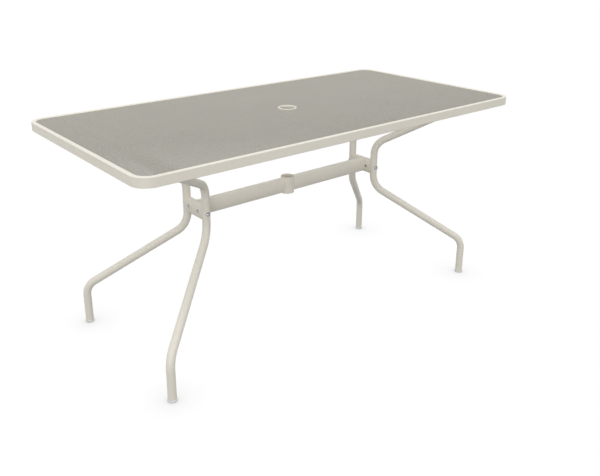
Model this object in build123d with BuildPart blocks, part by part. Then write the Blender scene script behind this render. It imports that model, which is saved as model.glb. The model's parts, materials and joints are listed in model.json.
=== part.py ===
"""Garden table: a mesh top in a tube rim, on four bent tube legs joined by bridges and a long beam.

X runs along the table to the right, Y from front to back and Z up. The origin is on the floor, under the
middle of the top. All sizes are in millimetres.
"""

import os
from math import atan2, cos, degrees, hypot, sin, sqrt

from build123d import *

# Top: outer size of the rim and its tube
TOP_LENGTH = 1600.0
TOP_WIDTH = 800.0
TOP_HEIGHT = 760.0
CORNER_RADIUS = 55.0
RIM_WIDTH = 15.0
RIM_HEIGHT = 30.0
RIM_WALL = 1.5
RIM_EDGE = 2.0
DRAIN_DIAMETER = 6.0
DRAIN_SPACING = 1200.0

# Mesh panel and the bars under it
MESH_RECESS = 2.0
MESH_THICKNESS = 2.5
MESH_COLUMNS = 12
MESH_ROWS = 6
MESH_WEB = 30.0
RING_PAD_DIAMETER = 110.0
CROSS_BAR_WIDTH = 25.0
HOLE_BAR_WIDTH = 15.0
BAR_HEIGHT = 25.0
BAR_WALL = 1.5

# Parasol passage through the top and the beam
RING_BORE = 58.0
RING_WALL = 5.0
RING_DEPTH = 8.0
RING_EDGE = 1.5
SLEEVE_BORE = 44.0
SLEEVE_WALL = 3.0
SLEEVE_LENGTH = 64.0

# Legs: places of the uprights and feet, and the bends of the tube
LEG_DIAMETER = 28.0
LEG_WALL = 2.0
UPRIGHT_X = 398.5
UPRIGHT_Y = 61.0
FOOT_X = 693.5
FOOT_Y = 301.0
KNEE_HEIGHT = 145.0
SPLAY_BELOW_BEAM = 78.0
ARM_ABOVE_BEAM = 98.0
KNEE_BEND = 66.0
SPLAY_BEND = 88.0
ARM_BEND = 65.0
SEAT_BEND = 65.0
ARM_REACH = 362.0
SEAT_RUN = 36.0
ARM_TAIL = 22.0

# Beam along the table and the bridges across it, oval tubes as wide as the legs
BEAM_DROP = 294.0
OVAL_HEIGHT = 60.0
OVAL_WALL = 2.0

# Foot glides and arm plugs
GLIDE_DIAMETER = 31.0
GLIDE_HEIGHT = 8.0
GLIDE_EDGE = 2.0
PLUG_DEPTH = 16.0
ARM_CAP_THICKNESS = 2.5
ARM_CAP_EDGE = 1.0

# Saddles between the arms and the cross bars
SADDLE_THICKNESS = 4.0
SADDLE_NEST = 6.0
SADDLE_LENGTH = 36.0
SADDLE_WIDTH = 30.0

# Fasteners
BOLT_DIAMETER = 8.0
BOLT_HEAD_DIAMETER = 14.0
BOLT_HEAD_HEIGHT = 4.6
BOLT_HEAD_EDGE = 1.0
SOCKET_SIZE = 5.0
SOCKET_DEPTH = 2.6
BOLT_PAST_NUT = 5.0
WASHER_DIAMETER = 16.0
WASHER_THICKNESS = 1.5
WASHER_NEST = 2.0
NUT_INSET = 31.5
NUT_DIAMETER = 12.0
NUT_HEAD_DIAMETER = 14.0
NUT_HEAD_HEIGHT = 4.0
NUT_HEAD_EDGE = 1.0
RIVET_FLANGE_DIAMETER = 15.0
RIVET_FLANGE_THICKNESS = 1.0
RIVET_BODY_DIAMETER = 11.0
RIVET_BODY_LENGTH = 12.0

# Clearances
FIT_CLEARANCE = 0.1
PLUG_CLEARANCE = 0.15
BOLT_CLEARANCE = 0.3

# Heights worked out from the top
rim_bottom = TOP_HEIGHT - RIM_HEIGHT
mesh_top = TOP_HEIGHT - MESH_RECESS
bar_top = mesh_top - MESH_THICKNESS
bar_bottom = bar_top - BAR_HEIGHT
beam_height = TOP_HEIGHT - BEAM_DROP
splay_height = beam_height - SPLAY_BELOW_BEAM
arm_height = beam_height + ARM_ABOVE_BEAM
leg_radius = LEG_DIAMETER / 2
seat_height = bar_bottom - SADDLE_THICKNESS - leg_radius

# Plan of the legs: each one lies in a vertical plane that runs out to its foot
splay_angle = atan2(FOOT_Y - UPRIGHT_Y, FOOT_X - UPRIGHT_X)
foot_reach = hypot(FOOT_X - UPRIGHT_X, FOOT_Y - UPRIGHT_Y)
seat_x = UPRIGHT_X + ARM_REACH * cos(splay_angle)
seat_y = UPRIGHT_Y + ARM_REACH * sin(splay_angle)
arm_end = ARM_REACH + ARM_TAIL

# Plan of the top, the beam and the bridges
inner_length = TOP_LENGTH - 2 * RIM_WIDTH
inner_width = TOP_WIDTH - 2 * RIM_WIDTH
inner_radius = CORNER_RADIUS - RIM_WIDTH
ring_radius = RING_BORE / 2 + RING_WALL
sleeve_radius = SLEEVE_BORE / 2 + SLEEVE_WALL
hole_bar_x = ring_radius + FIT_CLEARANCE + HOLE_BAR_WIDTH / 2
oval_width = LEG_DIAMETER
bridge_face = UPRIGHT_X + oval_width / 2
nut_y = UPRIGHT_Y - NUT_INSET
bolt_hole_radius = BOLT_DIAMETER / 2 + BOLT_CLEARANCE
thread_radius = BOLT_DIAMETER / 2 + FIT_CLEARANCE

# The beam reaches over the bridge to where the bridge's skin lies one wall below its top
cope_reach = oval_width / 2 * sqrt(1 - (1 - 2 * OVAL_WALL / OVAL_HEIGHT) ** 2)
beam_end = UPRIGHT_X - cope_reach

SIDES = {"left": -1, "right": 1}
CORNERS = {
    "front_left": (-1, -1),
    "back_left": (-1, 1),
    "front_right": (1, -1),
    "back_right": (1, 1),
}


def save(piece, name):
    """Label a finished piece and write it to its own file."""
    piece.part.label = name
    export_step(piece.part, f"parts/{name}.step")


def outward(corner):
    """Level direction from a corner's upright to its foot."""
    side_x, side_y = CORNERS[corner]
    return Vector(side_x * cos(splay_angle), side_y * sin(splay_angle), 0)


def leg_point(corner, reach, height):
    """Point in a leg's plane, at a level distance from its upright and a height above the floor."""
    side_x, side_y = CORNERS[corner]
    return Vector(side_x * UPRIGHT_X, side_y * UPRIGHT_Y, height) + outward(corner) * reach


def rim_frame():
    """Rectangular tube bent into a ring with rounded corners, with drain holes in its underside."""
    with BuildPart() as rim:
        with BuildSketch(Plane.XY.offset(rim_bottom)):
            RectangleRounded(TOP_LENGTH, TOP_WIDTH, CORNER_RADIUS)
            RectangleRounded(inner_length, inner_width, inner_radius, mode=Mode.SUBTRACT)
        extrude(amount=RIM_HEIGHT)
        fillet(rim.edges().group_by(Axis.Z)[0] + rim.edges().group_by(Axis.Z)[-1], RIM_EDGE)
        with BuildSketch(Plane.XY.offset(rim_bottom + RIM_WALL)):
            RectangleRounded(TOP_LENGTH - 2 * RIM_WALL, TOP_WIDTH - 2 * RIM_WALL, CORNER_RADIUS - RIM_WALL)
            RectangleRounded(
                inner_length + 2 * RIM_WALL,
                inner_width + 2 * RIM_WALL,
                inner_radius + RIM_WALL,
                mode=Mode.SUBTRACT,
            )
        extrude(amount=RIM_HEIGHT - 2 * RIM_WALL, mode=Mode.SUBTRACT)
        with BuildSketch(Plane.XY.offset(rim_bottom)):
            with GridLocations(DRAIN_SPACING, TOP_WIDTH - RIM_WIDTH, 2, 2):
                Circle(DRAIN_DIAMETER / 2)
        extrude(amount=RIM_WALL, mode=Mode.SUBTRACT)
    return rim


def mesh_panel():
    """Mesh inside the rim as a grid of openings, with a pad round the hole for the parasol ring."""
    column_pitch = inner_length / MESH_COLUMNS
    row_pitch = inner_width / MESH_ROWS
    with BuildPart() as panel:
        with BuildSketch(Plane.XY.offset(bar_top)):
            RectangleRounded(
                inner_length - 2 * FIT_CLEARANCE,
                inner_width - 2 * FIT_CLEARANCE,
                inner_radius - FIT_CLEARANCE,
            )
            with GridLocations(column_pitch, row_pitch, MESH_COLUMNS, MESH_ROWS):
                Rectangle(column_pitch - MESH_WEB, row_pitch - MESH_WEB, mode=Mode.SUBTRACT)
            Circle(RING_PAD_DIAMETER / 2)
            Circle(ring_radius + FIT_CLEARANCE, mode=Mode.SUBTRACT)
        extrude(amount=MESH_THICKNESS)
    return panel


def bar_under_mesh(x, width):
    """Rectangular tube across the table at one place along it, between the long sides of the rim."""
    with BuildPart() as bar:
        with BuildSketch(Plane(origin=(x, 0, bar_top - BAR_HEIGHT / 2), x_dir=(1, 0, 0), z_dir=(0, -1, 0))):
            Rectangle(width, BAR_HEIGHT)
            Rectangle(width - 2 * BAR_WALL, BAR_HEIGHT - 2 * BAR_WALL, mode=Mode.SUBTRACT)
        extrude(amount=inner_width / 2 - FIT_CLEARANCE, both=True)
    return bar


def cross_bar(side):
    """Bar that carries two arm ends, with a hole in its underside for each rivet nut."""
    tube = bar_under_mesh(SIDES[side] * seat_x, CROSS_BAR_WIDTH)
    with BuildPart() as bar:
        add(tube.part)
        with BuildSketch(Plane.XY.offset(bar_bottom)):
            with Locations((SIDES[side] * seat_x, -seat_y), (SIDES[side] * seat_x, seat_y)):
                Circle(RIVET_BODY_DIAMETER / 2 + FIT_CLEARANCE)
        extrude(amount=BAR_WALL, mode=Mode.SUBTRACT)
    return bar


def parasol_ring():
    """Round collar in the hole of the mesh, level with the top of the rim."""
    with BuildPart() as ring:
        with BuildSketch(Plane.XY.offset(TOP_HEIGHT - RING_DEPTH)):
            Circle(ring_radius)
            Circle(RING_BORE / 2, mode=Mode.SUBTRACT)
        extrude(amount=RING_DEPTH)
        fillet(ring.edges().group_by(Axis.Z)[-1], RING_EDGE)
    return ring


def leg(corner):
    """Round tube bent in one plane: foot, slanted run, upright, rising arm and level end."""
    side_x, side_y = CORNERS[corner]
    out = outward(corner)
    upright = Plane(
        origin=(side_x * UPRIGHT_X, side_y * UPRIGHT_Y, 0),
        x_dir=out,
        z_dir=out.cross(Vector(0, 0, 1)),
    )
    bolt_line = Plane(leg_point(corner, 0, beam_height), x_dir=(0, 0, 1), z_dir=(0, side_y, 0))
    seat = Plane(leg_point(corner, ARM_REACH, seat_height))
    with BuildPart() as tube:
        with BuildLine(upright) as route:
            FilletPolyline(
                (foot_reach, GLIDE_HEIGHT),
                (foot_reach, KNEE_HEIGHT),
                (0, splay_height),
                (0, arm_height),
                (ARM_REACH - SEAT_RUN, seat_height),
                (arm_end, seat_height),
                radius=(KNEE_BEND, SPLAY_BEND, ARM_BEND, SEAT_BEND),
            )
        with BuildSketch(Plane(leg_point(corner, foot_reach, GLIDE_HEIGHT))):
            Circle(leg_radius)
            Circle(leg_radius - LEG_WALL, mode=Mode.SUBTRACT)
        sweep(path=route.wires()[0])
        with Locations(bolt_line, seat):
            Cylinder(bolt_hole_radius, 2 * LEG_DIAMETER, mode=Mode.SUBTRACT)
    return tube


def bridge(side):
    """Oval tube between the two uprights of one end, coped to them and drilled for the barrel nuts."""
    x = SIDES[side] * UPRIGHT_X
    with BuildPart() as tube:
        with BuildSketch(Plane(origin=(x, 0, beam_height), x_dir=(1, 0, 0), z_dir=(0, -1, 0))):
            Ellipse(oval_width / 2, OVAL_HEIGHT / 2)
            Ellipse(oval_width / 2 - OVAL_WALL, OVAL_HEIGHT / 2 - OVAL_WALL, mode=Mode.SUBTRACT)
        extrude(amount=UPRIGHT_Y, both=True)
        with Locations((x, -UPRIGHT_Y, beam_height), (x, UPRIGHT_Y, beam_height)):
            Cylinder(leg_radius + FIT_CLEARANCE, 2 * OVAL_HEIGHT, mode=Mode.SUBTRACT)
        with Locations((x, -nut_y, beam_height), (x, nut_y, beam_height)):
            Cylinder(
                NUT_DIAMETER / 2 + FIT_CLEARANCE,
                2 * oval_width,
                rotation=(0, 90, 0),
                mode=Mode.SUBTRACT,
            )
    return tube


def beam(side):
    """One half of the long oval tube, coped to the parasol sleeve and to its bridge."""
    direction = SIDES[side]
    bridge_plane = Plane(origin=(direction * UPRIGHT_X, 0, beam_height), x_dir=(1, 0, 0), z_dir=(0, -1, 0))
    with BuildPart() as tube:
        with BuildSketch(Plane(origin=(0, 0, beam_height), x_dir=(0, 1, 0), z_dir=(direction, 0, 0))):
            Ellipse(oval_width / 2, OVAL_HEIGHT / 2)
            Ellipse(oval_width / 2 - OVAL_WALL, OVAL_HEIGHT / 2 - OVAL_WALL, mode=Mode.SUBTRACT)
        extrude(amount=beam_end)
        with Locations((0, 0, beam_height)):
            Cylinder(sleeve_radius + FIT_CLEARANCE, 2 * OVAL_HEIGHT, mode=Mode.SUBTRACT)
        with BuildSketch(bridge_plane):
            Ellipse(oval_width / 2 + FIT_CLEARANCE, OVAL_HEIGHT / 2 + FIT_CLEARANCE)
        extrude(amount=oval_width, both=True, mode=Mode.SUBTRACT)
    return tube


def parasol_sleeve():
    """Upright tube in the middle of the beam that holds the parasol pole."""
    with BuildPart() as sleeve:
        with BuildSketch(Plane.XY.offset(beam_height - SLEEVE_LENGTH / 2)):
            Circle(sleeve_radius)
            Circle(SLEEVE_BORE / 2, mode=Mode.SUBTRACT)
        extrude(amount=SLEEVE_LENGTH)
    return sleeve


def glide(corner):
    """Plastic foot: a round pad under the tube and a plug inside it."""
    with BuildPart() as foot:
        with BuildSketch(Plane(leg_point(corner, foot_reach, 0))):
            Circle(GLIDE_DIAMETER / 2)
        extrude(amount=GLIDE_HEIGHT)
        chamfer(foot.edges().group_by(Axis.Z)[0], GLIDE_EDGE / 2)
        fillet(foot.edges().group_by(Axis.Z)[-1], GLIDE_EDGE)
        with BuildSketch(Plane(leg_point(corner, foot_reach, GLIDE_HEIGHT))):
            Circle(leg_radius - LEG_WALL - PLUG_CLEARANCE)
        extrude(amount=PLUG_DEPTH)
    return foot


def saddle(corner):
    """Block that seats a round arm against the flat underside of its cross bar."""
    top = Plane(leg_point(corner, ARM_REACH, bar_bottom), x_dir=outward(corner), z_dir=(0, 0, 1))
    arm = Plane(leg_point(corner, ARM_REACH, seat_height), x_dir=(0, 0, 1), z_dir=outward(corner))
    with BuildPart() as block:
        with BuildSketch(top):
            Rectangle(SADDLE_LENGTH, SADDLE_WIDTH)
            Circle(bolt_hole_radius, mode=Mode.SUBTRACT)
        extrude(amount=-SADDLE_THICKNESS - SADDLE_NEST)
        with BuildSketch(top):
            Circle(RIVET_FLANGE_DIAMETER / 2 + FIT_CLEARANCE)
        extrude(amount=-RIVET_FLANGE_THICKNESS - FIT_CLEARANCE, mode=Mode.SUBTRACT)
        with Locations(arm):
            Cylinder(leg_radius + FIT_CLEARANCE, 2 * SADDLE_LENGTH, mode=Mode.SUBTRACT)
    return block


def domed_bolt(shank_length):
    """Bolt with a low domed head and a hexagon socket; the head rests on the plane Z = 0."""
    with BuildPart() as bolt:
        with BuildSketch(Plane.XZ):
            with BuildLine():
                Polyline(
                    (0, BOLT_HEAD_HEIGHT),
                    (0, -shank_length),
                    (BOLT_DIAMETER / 2, -shank_length),
                    (BOLT_DIAMETER / 2, 0),
                    (BOLT_HEAD_DIAMETER / 2, 0),
                    (BOLT_HEAD_DIAMETER / 2, BOLT_HEAD_EDGE),
                )
                RadiusArc(
                    (BOLT_HEAD_DIAMETER / 2, BOLT_HEAD_EDGE),
                    (0, BOLT_HEAD_HEIGHT),
                    -dome_radius(BOLT_HEAD_DIAMETER, BOLT_HEAD_HEIGHT - BOLT_HEAD_EDGE),
                )
            make_face()
        revolve(axis=Axis.Z)
        with BuildSketch(Plane.XY.offset(BOLT_HEAD_HEIGHT)):
            RegularPolygon(SOCKET_SIZE / 2, 6, major_radius=False)
        extrude(amount=-SOCKET_DEPTH, mode=Mode.SUBTRACT)
    return bolt


def dome_radius(diameter, rise):
    """Radius of the sphere whose cap has this base diameter and this rise."""
    return (diameter**2 / 4 + rise**2) / (2 * rise)


def curved_washer():
    """Washer under a bolt head: flat top on Z = 0, underside curved to a leg tube along X."""
    with BuildPart() as washer:
        with BuildSketch():
            Circle(WASHER_DIAMETER / 2)
            Circle(bolt_hole_radius, mode=Mode.SUBTRACT)
        extrude(amount=-WASHER_THICKNESS - WASHER_NEST)
        with Locations((0, 0, -WASHER_THICKNESS - leg_radius)):
            Cylinder(
                leg_radius + FIT_CLEARANCE,
                2 * WASHER_DIAMETER,
                rotation=(0, 90, 0),
                mode=Mode.SUBTRACT,
            )
    return washer


def barrel_nut():
    """Cross nut with a domed head on the plane Z = 0 and a threaded hole along Y."""
    with BuildPart() as nut:
        with BuildSketch(Plane.XZ):
            with BuildLine():
                Polyline(
                    (0, NUT_HEAD_HEIGHT),
                    (0, -oval_width),
                    (NUT_DIAMETER / 2, -oval_width),
                    (NUT_DIAMETER / 2, 0),
                    (NUT_HEAD_DIAMETER / 2, 0),
                    (NUT_HEAD_DIAMETER / 2, NUT_HEAD_EDGE),
                )
                RadiusArc(
                    (NUT_HEAD_DIAMETER / 2, NUT_HEAD_EDGE),
                    (0, NUT_HEAD_HEIGHT),
                    -dome_radius(NUT_HEAD_DIAMETER, NUT_HEAD_HEIGHT - NUT_HEAD_EDGE),
                )
            make_face()
        revolve(axis=Axis.Z)
        with Locations((0, 0, -oval_width / 2)):
            Cylinder(thread_radius, 2 * NUT_DIAMETER, rotation=(90, 0, 0), mode=Mode.SUBTRACT)
    return nut


def rivet_nut():
    """Threaded insert with its flange under the plane Z = 0 and its body above it."""
    with BuildPart() as insert:
        with BuildSketch():
            Circle(RIVET_FLANGE_DIAMETER / 2)
        extrude(amount=-RIVET_FLANGE_THICKNESS)
        with BuildSketch():
            Circle(RIVET_BODY_DIAMETER / 2)
        extrude(amount=RIVET_BODY_LENGTH)
        with BuildSketch(Plane.XY.offset(RIVET_BODY_LENGTH)):
            Circle(thread_radius)
        extrude(amount=-RIVET_BODY_LENGTH - RIVET_FLANGE_THICKNESS, mode=Mode.SUBTRACT)
    return insert


def arm_plug():
    """Plastic plug for an arm's open end: its cap lies above the plane Z = 0."""
    with BuildPart() as plug:
        with BuildSketch():
            Circle(leg_radius)
        extrude(amount=ARM_CAP_THICKNESS)
        fillet(plug.edges().group_by(Axis.Z)[-1], ARM_CAP_EDGE)
        with BuildSketch():
            Circle(leg_radius - LEG_WALL - PLUG_CLEARANCE)
        extrude(amount=-ARM_TAIL / 2)
    return plug


def group(master, planes):
    """Copies of one small piece, one on each plane, as separate solids."""
    with BuildPart() as pieces:
        with Locations(*planes):
            add(master.part)
    return pieces


os.makedirs("parts", exist_ok=True)

save(rim_frame(), "rim_frame")
save(mesh_panel(), "mesh_panel")
save(parasol_ring(), "parasol_ring")
save(parasol_sleeve(), "parasol_sleeve")

for side in SIDES:
    save(cross_bar(side), f"cross_bar_{side}")
    save(bar_under_mesh(SIDES[side] * hole_bar_x, HOLE_BAR_WIDTH), f"hole_bar_{side}")
    save(bridge(side), f"bridge_{side}")
    save(beam(side), f"beam_{side}")

for corner in CORNERS:
    save(leg(corner), f"leg_{corner}")
    save(glide(corner), f"glide_{corner}")
    save(saddle(corner), f"saddle_{corner}")

# Leg bolts run along Y through the uprights into the barrel nuts of the bridges
leg_head_y = UPRIGHT_Y + leg_radius + WASHER_THICKNESS
leg_bolt_planes = [
    Plane((x * UPRIGHT_X, y * leg_head_y, beam_height), x_dir=(0, 0, 1), z_dir=(0, y, 0))
    for x, y in CORNERS.values()
]
nut_planes = [
    Plane((x * bridge_face, y * nut_y, beam_height), x_dir=(0, 0, 1), z_dir=(x, 0, 0))
    for x, y in CORNERS.values()
]
save(group(domed_bolt(leg_head_y - nut_y + BOLT_PAST_NUT), leg_bolt_planes), "leg_bolts")
save(group(curved_washer(), leg_bolt_planes), "leg_bolt_washers")
save(group(barrel_nut(), nut_planes), "barrel_nuts")

# Arm screws run up through the level arm ends and the saddles into the rivet nuts of the cross bars
arm_head_height = seat_height - leg_radius - WASHER_THICKNESS
arm_screw_planes = [
    Plane(leg_point(corner, ARM_REACH, arm_head_height), x_dir=outward(corner), z_dir=(0, 0, -1))
    for corner in CORNERS
]
rivet_planes = [Plane(leg_point(corner, ARM_REACH, bar_bottom)) for corner in CORNERS]
plug_planes = [
    Plane(leg_point(corner, arm_end, seat_height), x_dir=(0, 0, 1), z_dir=outward(corner))
    for corner in CORNERS
]
save(group(domed_bolt(bar_bottom + RIVET_BODY_LENGTH - arm_head_height), arm_screw_planes), "arm_screws")
save(group(curved_washer(), arm_screw_planes), "arm_screw_washers")
save(group(rivet_nut(), rivet_planes), "rivet_nuts")
save(group(arm_plug(), plug_planes), "arm_plugs")

print(f"arm rises at {degrees(atan2(seat_height - arm_height, ARM_REACH - SEAT_RUN)):.1f} degrees")
print(f"cross bars at x = {seat_x:.1f}, arm seats at y = {seat_y:.1f}")
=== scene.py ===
"""Garden table with a mesh top: the finishes, the real mesh of the top and a plain white studio."""

import json
import logging
import math
from dataclasses import dataclass
from enum import Enum
from typing import Any

import bmesh
import bpy
from mathutils import Matrix, Vector


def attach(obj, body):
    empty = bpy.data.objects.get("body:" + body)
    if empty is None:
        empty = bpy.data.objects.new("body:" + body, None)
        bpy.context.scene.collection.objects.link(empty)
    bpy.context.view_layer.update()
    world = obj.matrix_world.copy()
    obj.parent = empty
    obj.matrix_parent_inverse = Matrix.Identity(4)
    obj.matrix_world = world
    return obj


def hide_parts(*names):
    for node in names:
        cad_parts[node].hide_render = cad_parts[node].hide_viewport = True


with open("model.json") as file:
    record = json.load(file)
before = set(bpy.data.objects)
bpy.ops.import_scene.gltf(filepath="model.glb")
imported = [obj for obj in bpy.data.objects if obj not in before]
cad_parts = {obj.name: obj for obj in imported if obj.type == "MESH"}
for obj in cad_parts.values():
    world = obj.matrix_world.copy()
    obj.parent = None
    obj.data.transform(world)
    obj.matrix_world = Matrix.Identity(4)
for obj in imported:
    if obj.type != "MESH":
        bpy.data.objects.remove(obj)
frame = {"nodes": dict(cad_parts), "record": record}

log = logging.getLogger("garden_table")

Colour = tuple[float, float, float]

WHITE = (1.0, 1.0, 1.0, 1.0)
PATTERN_MIDDLE = (0.3, 0.7)


class Slot(Enum):
    """Material slots of the table's record."""

    PAINT = "paint"
    # The mesh's finish is a darker copy of the cream paint, with painted shade in its colour.
    MESH_PAINT = "mesh_paint"
    STEEL = "steel"
    GLIDE_PLASTIC = "glide_plastic"
    GREY_PLASTIC = "grey_plastic"


class Shade:
    """A material's node tree, with short ways to add and join its nodes."""

    def __init__(self, name: str) -> None:
        """Start an empty material of this name."""
        self.material: bpy.types.Material = bpy.data.materials.new(name)
        self.material.use_nodes = True
        self.tree: bpy.types.NodeTree = self.material.node_tree
        self.tree.nodes.clear()
        self.output: bpy.types.Node = self.tree.nodes.new("ShaderNodeOutputMaterial")

    def add(self, kind: str, **values: Any) -> bpy.types.Node:
        """Add a node.

        Args:
            kind: Blender's name of the node type, without its prefix.
            values: sockets to set, with underscores for the spaces in their names.

        Returns:
            The new node.
        """
        node = self.tree.nodes.new("ShaderNode" + kind)
        for socket, value in values.items():
            node.inputs[socket.replace("_", " ")].default_value = value
        return node

    def join(self, source: bpy.types.NodeSocket, target: bpy.types.NodeSocket) -> None:
        """Link one socket to another."""
        self.tree.links.new(source, target)

    def place(self) -> bpy.types.NodeSocket:
        """Return the socket with a point's place on the piece, in metres."""
        return self.add("TexCoord").outputs["Object"]

    def noise(self, scale: float, detail: float, roughness: float = 0.5) -> bpy.types.Node:
        """Add a noise pattern on the piece's own coordinates.

        Args:
            scale: number of features in a metre.
            detail: number of finer octaves.
            roughness: weight of the finer octaves.

        Returns:
            The noise node.
        """
        node = self.add("TexNoise", Scale=scale, Detail=detail, Roughness=roughness)
        self.join(self.place(), node.inputs["Vector"])
        return node

    def spread(self, source: bpy.types.NodeSocket, low: float, high: float) -> bpy.types.NodeSocket:
        """Map the middle of a noise pattern to a range.

        Args:
            source: the pattern's value.
            low: result where the pattern is low.
            high: result where the pattern is high.

        Returns:
            The socket with the mapped value.
        """
        node = self.add("MapRange")
        for index, value in enumerate((*PATTERN_MIDDLE, low, high), start=1):
            node.inputs[index].default_value = value
        self.join(source, node.inputs[0])
        return node.outputs[0]

    def tones(self, source: bpy.types.NodeSocket, low: Colour, high: Colour) -> bpy.types.NodeSocket:
        """Blend two colours by a pattern.

        Args:
            source: the pattern's value.
            low: colour where the pattern is low.
            high: colour where the pattern is high.

        Returns:
            The socket with the blended colour.
        """
        node = self.add("ValToRGB")
        ramp = node.color_ramp
        for element, place, colour in zip(ramp.elements, PATTERN_MIDDLE, (low, high)):
            element.position = place
            element.color = (*colour, 1.0)
        self.join(source, node.inputs["Fac"])
        return node.outputs["Color"]

    def relief(self, source: bpy.types.NodeSocket, strength: float, depth: float) -> bpy.types.NodeSocket:
        """Turn a pattern into a relief.

        Args:
            source: the pattern's value.
            strength: share of the relief that shows.
            depth: height of the relief in metres.

        Returns:
            The socket with the bent normal.
        """
        node = self.add("Bump", Strength=strength, Distance=depth)
        self.join(source, node.inputs["Height"])
        return node.outputs["Normal"]

    def finish(self, shader: bpy.types.Node) -> bpy.types.Material:
        """Send the shader to the output and return the material."""
        self.join(shader.outputs[0], self.output.inputs["Surface"])
        return self.material


def tinted(colour: Colour, share: float) -> Colour:
    """Return a colour made lighter or darker by a share."""
    return tuple(min(1.0, part * (1.0 + share)) for part in colour)


@dataclass(frozen=True)
class PowderCoat:
    """Satin powder coat: one pale tone that drifts a little, with the fine peel that the baked powder leaves.

    The tone, the gloss and the peel each have their own noise.
    """

    name: str
    colour: Colour
    drift: float = 0.018
    drift_scale: float = 7.0
    peel_scale: float = 620.0
    peel_depth: float = 0.00006
    peel_strength: float = 0.035
    gloss: tuple[float, float] = (0.40, 0.50)

    def material(self) -> bpy.types.Material:
        """Return the coat as a material."""
        shade = Shade(self.name)
        shader = shade.add("BsdfPrincipled", IOR=1.5)
        drift = shade.noise(self.drift_scale, 4.0, 0.6)
        tone = shade.tones(drift.outputs[0], tinted(self.colour, -self.drift), tinted(self.colour, self.drift))
        shade.join(tone, shader.inputs["Base Color"])
        clouds = shade.noise(self.drift_scale * 9, 3.0)
        shade.join(shade.spread(clouds.outputs[0], *self.gloss), shader.inputs["Roughness"])
        peel = shade.noise(self.peel_scale, 1.5)
        shade.join(shade.relief(peel.outputs[0], self.peel_strength, self.peel_depth), shader.inputs["Normal"])
        return shade.finish(shader)


@dataclass(frozen=True)
class BrightSteel:
    """Bright zinc on steel: a cool grey metal with cloudy gloss and fine turning marks."""

    name: str
    colour: Colour
    gloss: tuple[float, float] = (0.16, 0.32)
    cloud_tint: tuple[float, float] = (-0.12, 0.10)
    cloud_scale: float = 260.0
    mark_scale: float = 2400.0
    mark_depth: float = 0.00003
    mark_strength: float = 0.08

    def material(self) -> bpy.types.Material:
        """Return the metal as a material."""
        shade = Shade(self.name)
        shader = shade.add("BsdfPrincipled", Metallic=1.0)
        clouds = shade.noise(self.cloud_scale, 3.0)
        tone = shade.tones(clouds.outputs[0], *(tinted(self.colour, share) for share in self.cloud_tint))
        shade.join(tone, shader.inputs["Base Color"])
        shade.join(shade.spread(clouds.outputs[0], *self.gloss), shader.inputs["Roughness"])
        marks = shade.noise(self.mark_scale, 1.0)
        shade.join(shade.relief(marks.outputs[0], self.mark_strength, self.mark_depth), shader.inputs["Normal"])
        return shade.finish(shader)


@dataclass(frozen=True)
class MouldedPlastic:
    """Moulded plastic with a fine sparked texture and slightly cloudy colour."""

    name: str
    colour: Colour
    gloss: tuple[float, float] = (0.38, 0.52)
    glow: float = 0.0
    glow_depth: float = 0.004
    cloud_tint: tuple[float, float] = (-0.02, 0.02)
    cloud_scale: float = 45.0
    grain_scale: float = 1500.0
    grain_depth: float = 0.00005
    grain_strength: float = 0.12

    def material(self) -> bpy.types.Material:
        """Return the plastic as a material."""
        shade = Shade(self.name)
        glow = {"Subsurface_Weight": self.glow, "Subsurface_Scale": self.glow_depth}
        shader = shade.add("BsdfPrincipled", IOR=1.48, **glow)
        clouds = shade.noise(self.cloud_scale, 3.0)
        tone = shade.tones(clouds.outputs[0], *(tinted(self.colour, share) for share in self.cloud_tint))
        shade.join(tone, shader.inputs["Base Color"])
        shade.join(shade.spread(clouds.outputs[0], *self.gloss), shader.inputs["Roughness"])
        grain = shade.noise(self.grain_scale, 1.0)
        sparked = shade.relief(grain.outputs[0], self.grain_strength, self.grain_depth)
        shade.join(sparked, shader.inputs["Normal"])
        return shade.finish(shader)


@dataclass(frozen=True)
class Finishes:
    """The table's finishes, each one for a material slot."""

    paint: PowderCoat = PowderCoat("cream_powder_coat", (0.87, 0.825, 0.725))
    # The mesh's coat is the cream paint darkened to about half: painted shade that stands in for the shade on
    # the strands' sides and in the mesh's openings.
    mesh_paint: PowderCoat = PowderCoat("mesh_coat_painted_shade", (0.435, 0.415, 0.370), peel_strength=0.02)
    steel: BrightSteel = BrightSteel("bright_zinc", (0.40, 0.40, 0.41))
    glide_plastic: MouldedPlastic = MouldedPlastic("pale_glide_plastic", (0.84, 0.84, 0.81), glow=0.25)
    grey_plastic: MouldedPlastic = MouldedPlastic("grey_plastic", (0.60, 0.59, 0.56))

    def materials(self) -> dict[Slot, bpy.types.Material]:
        """Return one material for each slot."""
        return {slot: getattr(self, slot.value).material() for slot in Slot}


def new_piece(name: str, mesh: bmesh.types.BMesh, material: bpy.types.Material) -> bpy.types.Object:
    """Make an object of a finished bmesh and link it to the scene.

    Args:
        name: name of the piece.
        mesh: its shape, which is freed.
        material: its finish.

    Returns:
        The new object.
    """
    data = bpy.data.meshes.new(name)
    mesh.to_mesh(data)
    mesh.free()
    data.materials.append(material)
    piece = bpy.data.objects.new(name, data)
    bpy.context.scene.collection.objects.link(piece)
    return piece


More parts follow.
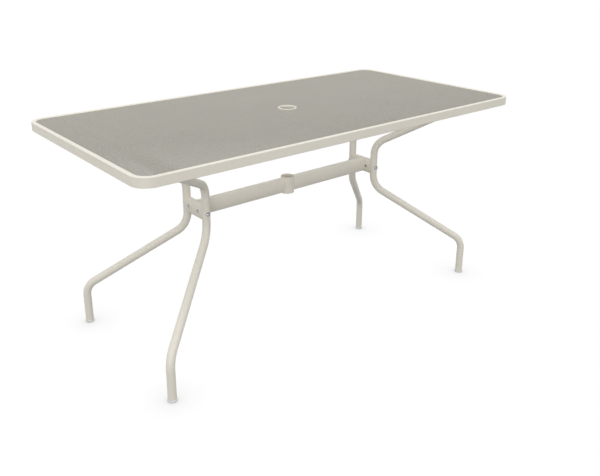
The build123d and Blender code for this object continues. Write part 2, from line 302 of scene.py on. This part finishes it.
@dataclass
class MeshTop:
    """The mesh panel: two crossing families of slanted strands inside the rim, open in the middle.

    The strands end inside the rim's inner wall and inside the wall of the parasol ring.
    """

    length: float = 1.5706
    width: float = 0.7706
    corner_radius: float = 0.0403
    bottom: float = 0.7555
    thickness: float = 0.0025
    ring_radius: float = 0.0330
    diamond_long: float = 0.01694
    diamond_short: float = 0.00847
    strand_width: float = 0.0018
    strand_gauge: float = 0.0010
    slant: float = math.radians(45)
    layer_step: float = 0.00006
    corner_cuts: int = 5

    def strand(
        self, mesh: bmesh.types.BMesh, turn: Matrix, offset: float, start: float, end: float, low: float
    ) -> None:
        """Add one straight strand.

        Args:
            mesh: the panel's mesh.
            turn: rotation that carries X to the strand's direction.
            offset: its distance from the panel's middle.
            start: where it begins along its direction.
            end: where it ends along its direction.
            low: how far its middle lies below the panel's middle.
        """
        middle = Vector(((start + end) / 2, offset, self.bottom + self.thickness / 2 - low))
        lean = Matrix.Rotation(self.slant, 4, "X")
        size = Matrix.Diagonal((end - start, self.strand_width, self.strand_gauge, 1.0))
        bmesh.ops.create_cube(mesh, size=1.0, matrix=turn @ Matrix.Translation(middle) @ lean @ size)

    def family(self, mesh: bmesh.types.BMesh, angle: float, low: float) -> None:
        """Add all strands of one direction, interrupted at the parasol ring.

        Args:
            mesh: the panel's mesh.
            angle: direction of the strands, from the table's length.
            low: how far they lie below the panel's middle.
        """
        turn = Matrix.Rotation(angle, 4, "Z")
        pitch = self.diamond_short * math.cos(angle)
        half = math.hypot(self.length, self.width) / 2
        count = int((self.length * abs(math.sin(angle)) + self.width * math.cos(angle)) / 2 / pitch) + 1
        for index in range(-count, count + 1):
            offset = index * pitch
            if abs(offset) >= self.ring_radius:
                self.strand(mesh, turn, offset, -half, half, low)
                continue
            gap = math.sqrt(self.ring_radius**2 - offset**2)
            self.strand(mesh, turn, offset, -half, -gap, low)
            self.strand(mesh, turn, offset, gap, half, low)

    def trim(self, mesh: bmesh.types.BMesh) -> None:
        """Cut the strands off along the rim and close their ends."""
        corner = Vector((self.length / 2 - self.corner_radius, self.width / 2 - self.corner_radius, 0.0))
        cuts = []
        for step in range(4 * (self.corner_cuts + 1)):
            angle = math.radians(90) * step / (self.corner_cuts + 1)
            normal = Vector((math.cos(angle), math.sin(angle), 0.0))
            signs = Vector((math.copysign(1, round(normal.x, 6)), math.copysign(1, round(normal.y, 6)), 0.0))
            cuts.append((corner * signs + normal * self.corner_radius, normal))
        for point, normal in cuts:
            geometry = mesh.verts[:] + mesh.edges[:] + mesh.faces[:]
            bmesh.ops.bisect_plane(mesh, geom=geometry, plane_co=point, plane_no=normal, clear_outer=True)
            bmesh.ops.holes_fill(mesh, edges=[edge for edge in mesh.edges if edge.is_boundary], sides=8)

    def build(self, material: bpy.types.Material) -> bpy.types.Object:
        """Make the panel.

        Args:
            material: its finish.

        Returns:
            The panel's object, which stands for the coarse grid.
        """
        mesh = bmesh.new()
        angle = math.atan2(self.diamond_short, self.diamond_long)
        self.family(mesh, angle, -self.layer_step)
        self.family(mesh, -angle, self.layer_step)
        self.trim(mesh)
        piece = new_piece("mesh_strands", mesh, material)
        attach(piece, "root")
        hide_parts("mesh_panel")
        return piece


@dataclass
class TubeFrame:
    """The rim, bars, legs, bridges, beams, sleeve and fittings, whose solids are shown with their finishes."""

    nodes: dict[str, bpy.types.Object]
    slots: dict[str, Slot]

    def dress(self, materials: dict[Slot, bpy.types.Material]) -> None:
        """Give each solid its finish, the coarse grid of the mesh included.

        Args:
            materials: one material for each slot.
        """
        for name, node in self.nodes.items():
            node.data.materials.clear()
            node.data.materials.append(materials[self.slots[name]])
            log.info("%s: %s", name, self.slots[name].value)


def seen_rays(tree: bpy.types.NodeTree) -> bpy.types.NodeSocket:
    """Add the test for rays that show a surface, apart from those that only carry soft light.

    Args:
        tree: node tree of a material or of the world.

    Returns:
        The socket that is 1 where the camera, a mirror or a clear material looks, and 0 for soft light.
    """
    path = tree.nodes.new("ShaderNodeLightPath")
    last = path.outputs["Is Camera Ray"]
    for ray in ("Is Glossy Ray", "Is Transmission Ray"):
        either = tree.nodes.new("ShaderNodeMath")
        either.operation = "MAXIMUM"
        tree.links.new(last, either.inputs[0])
        tree.links.new(path.outputs[ray], either.inputs[1])
        last = either.outputs[0]
    return last


@dataclass(frozen=True)
class Lamp:
    """A square soft light that looks at the table."""

    name: str
    place: tuple[float, float, float]
    size: float
    power: float
    target: tuple[float, float, float] = (0.0, 0.0, 0.45)

    def hang(self) -> None:
        """Put the lamp in the scene."""
        data = bpy.data.lights.new(self.name, "AREA")
        data.shape = "SQUARE"
        data.size = self.size
        data.energy = self.power
        lamp = bpy.data.objects.new(self.name, data)
        lamp.location = self.place
        lamp.rotation_euler = (Vector(self.target) - Vector(self.place)).to_track_quat("-Z", "Y").to_euler()
        bpy.context.scene.collection.objects.link(lamp)


@dataclass
class Studio:
    """White floor, soft light from above and the camera."""

    floor_size: float = 60.0
    floor_colour: Colour = (0.25, 0.25, 0.25)
    shadow_share: float = 0.10
    paper_glow: float = 1.03
    contact_reach: float = 0.16
    contact_tone: float = 0.72
    contact_full: float = 0.5
    sky: float = 0.78
    lamps: tuple[Lamp, ...] = (
        Lamp("overhead_light", (-0.4, -0.3, 4.2), 4.0, 29.0),
        Lamp("fill_light", (-7.0, -7.4, 2.6), 4.0, 195.0),
    )
    eye: tuple[float, float, float] = (-1.52524, -1.88719, 1.31897)
    heading: float = math.radians(39.183)
    tilt: float = math.radians(19.062)
    roll: float = math.radians(0.083)
    lens: float = 41.077
    shift: tuple[float, float] = (0.016667, -0.096667)

    def floor_material(self) -> bpy.types.Material:
        """Return the floor's material: white to the eye, with a faint shadow and a shade around the feet."""
        shade = Shade("studio_floor")
        plain = shade.add("BsdfDiffuse", Color=(*self.floor_colour, 1.0))
        paper = shade.add("BsdfDiffuse", Color=WHITE)
        white = shade.add("Emission", Color=WHITE)
        contact = shade.add("AmbientOcclusion", Distance=self.contact_reach)
        darkest = self.contact_tone * self.paper_glow
        tone = shade.add("MapRange", From_Min=self.contact_full, To_Min=darkest, To_Max=self.paper_glow)
        shade.join(contact.outputs["AO"], tone.inputs["Value"])
        shade.join(tone.outputs[0], white.inputs["Strength"])
        eye_view = shade.add("MixShader", Fac=self.shadow_share)
        shade.join(white.outputs[0], eye_view.inputs[1])
        shade.join(paper.outputs[0], eye_view.inputs[2])
        whole = shade.add("MixShader")
        shade.join(seen_rays(shade.tree), whole.inputs[0])
        shade.join(plain.outputs[0], whole.inputs[1])
        shade.join(eye_view.outputs[0], whole.inputs[2])
        return shade.finish(whole)

    def floor(self) -> bpy.types.Object:
        """Lay the floor and return it."""
        mesh = bmesh.new()
        bmesh.ops.create_grid(mesh, x_segments=1, y_segments=1, size=self.floor_size / 2)
        floor = new_piece("studio_floor", mesh, self.floor_material())
        return floor

    def light(self) -> None:
        """Set the soft sky and hang the lamps."""
        world = bpy.data.worlds.new("studio_sky")
        bpy.context.scene.world = world
        world.use_nodes = True
        tree = world.node_tree
        tree.nodes.clear()
        output = tree.nodes.new("ShaderNodeOutputWorld")
        soft = tree.nodes.new("ShaderNodeBackground")
        soft.inputs["Strength"].default_value = self.sky
        seen = tree.nodes.new("ShaderNodeBackground")
        soft.inputs["Color"].default_value = seen.inputs["Color"].default_value = WHITE
        mix = tree.nodes.new("ShaderNodeMixShader")
        tree.links.new(seen_rays(tree), mix.inputs[0])
        tree.links.new(soft.outputs[0], mix.inputs[1])
        tree.links.new(seen.outputs[0], mix.inputs[2])
        tree.links.new(mix.outputs[0], output.inputs["Surface"])
        for lamp in self.lamps:
            lamp.hang()

    def camera(self) -> None:
        """Put the camera where the photograph was taken."""
        data = bpy.data.cameras.new("camera")
        data.sensor_fit = "HORIZONTAL"
        data.sensor_width = 36.0
        data.lens = self.lens
        data.shift_x, data.shift_y = self.shift
        data.clip_end = 200.0
        camera = bpy.data.objects.new("camera", data)
        turn = Matrix.Rotation(-self.heading, 4, "Z") @ Matrix.Rotation(math.radians(90) - self.tilt, 4, "X")
        camera.matrix_world = Matrix.Translation(self.eye) @ turn @ Matrix.Rotation(self.roll, 4, "Z")
        bpy.context.scene.collection.objects.link(camera)
        bpy.context.scene.camera = camera

    def build(self) -> None:
        """Set up the floor, the light, the camera and the plain view transform."""
        self.floor()
        self.light()
        self.camera()
        bpy.context.scene.view_settings.view_transform = "Standard"


def main() -> None:
    """Dress the table and set up the studio."""
    logging.basicConfig(level=logging.INFO, format="%(name)s %(message)s")
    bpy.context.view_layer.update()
    materials = Finishes().materials()
    slots = {part["node"]: Slot(part["material_slot"]) for part in frame["record"]["subparts"]}
    panel = MeshTop().build(materials[Slot.MESH_PAINT])
    log.info("%s: %d faces", panel.name, len(panel.data.polygons))
    TubeFrame(frame["nodes"], slots).dress(materials)
    Studio().build()


if __name__ == "__main__":
    main()
